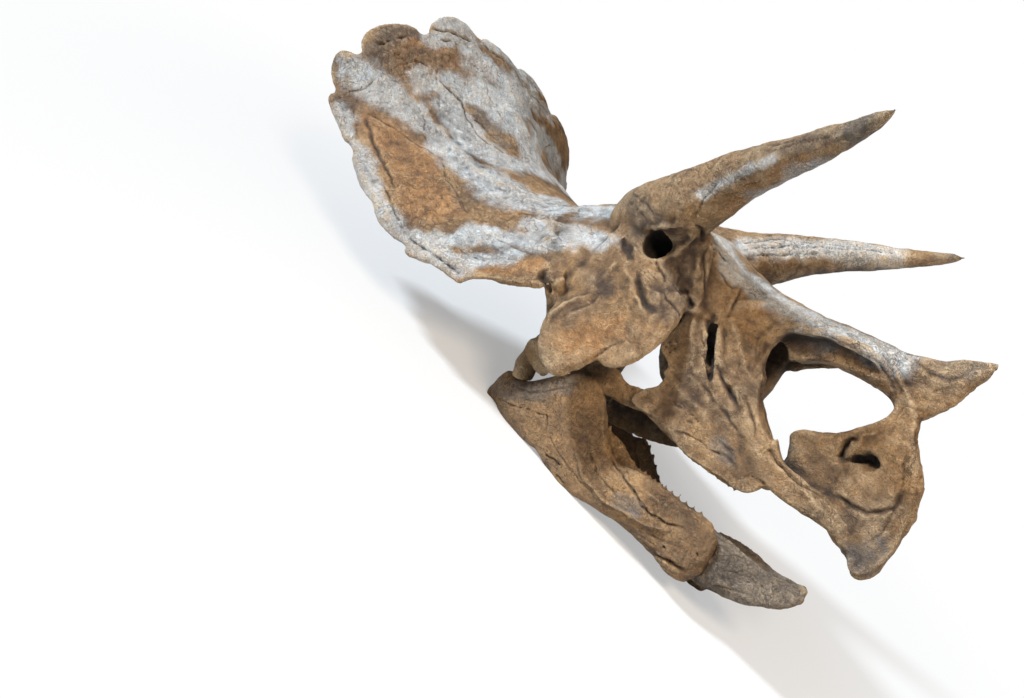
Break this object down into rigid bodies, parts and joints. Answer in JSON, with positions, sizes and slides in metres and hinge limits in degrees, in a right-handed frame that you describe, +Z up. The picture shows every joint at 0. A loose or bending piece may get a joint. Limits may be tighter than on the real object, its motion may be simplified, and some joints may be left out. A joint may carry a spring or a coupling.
{
  "type": "triceratops skull fossil",
  "caption": "Fossil skull of a horned dinosaur with a scalloped neck frill, long brow horns, a nose horn, a hooked beak and separate lower jaws, lying on the rear of its jaws",
  "frame": {"origin": "the middle of the floor under the skull's whole box", "axes": "+X towards the beak along the length, +Y to the animal's left, +Z up; the skull is pitched nose up as it rests on its jaws"},
  "size_m": [2.2939, 1.3311, 1.2596],
  "materials": {
    "bone": "rough mineralised bone, warm tan with pale dusty upper faces",
    "jaw_bone": "rough mineralised bone, warm brown",
    "grey_bone": "rough mineralised bone, greyish brown"
  },
  "bodies": {
    "root": {"cranium": "bone", "right_lower_jaw": "jaw_bone", "left_lower_jaw": "jaw_bone", "predentary": "grey_bone"}
  },
  "joints": []
}
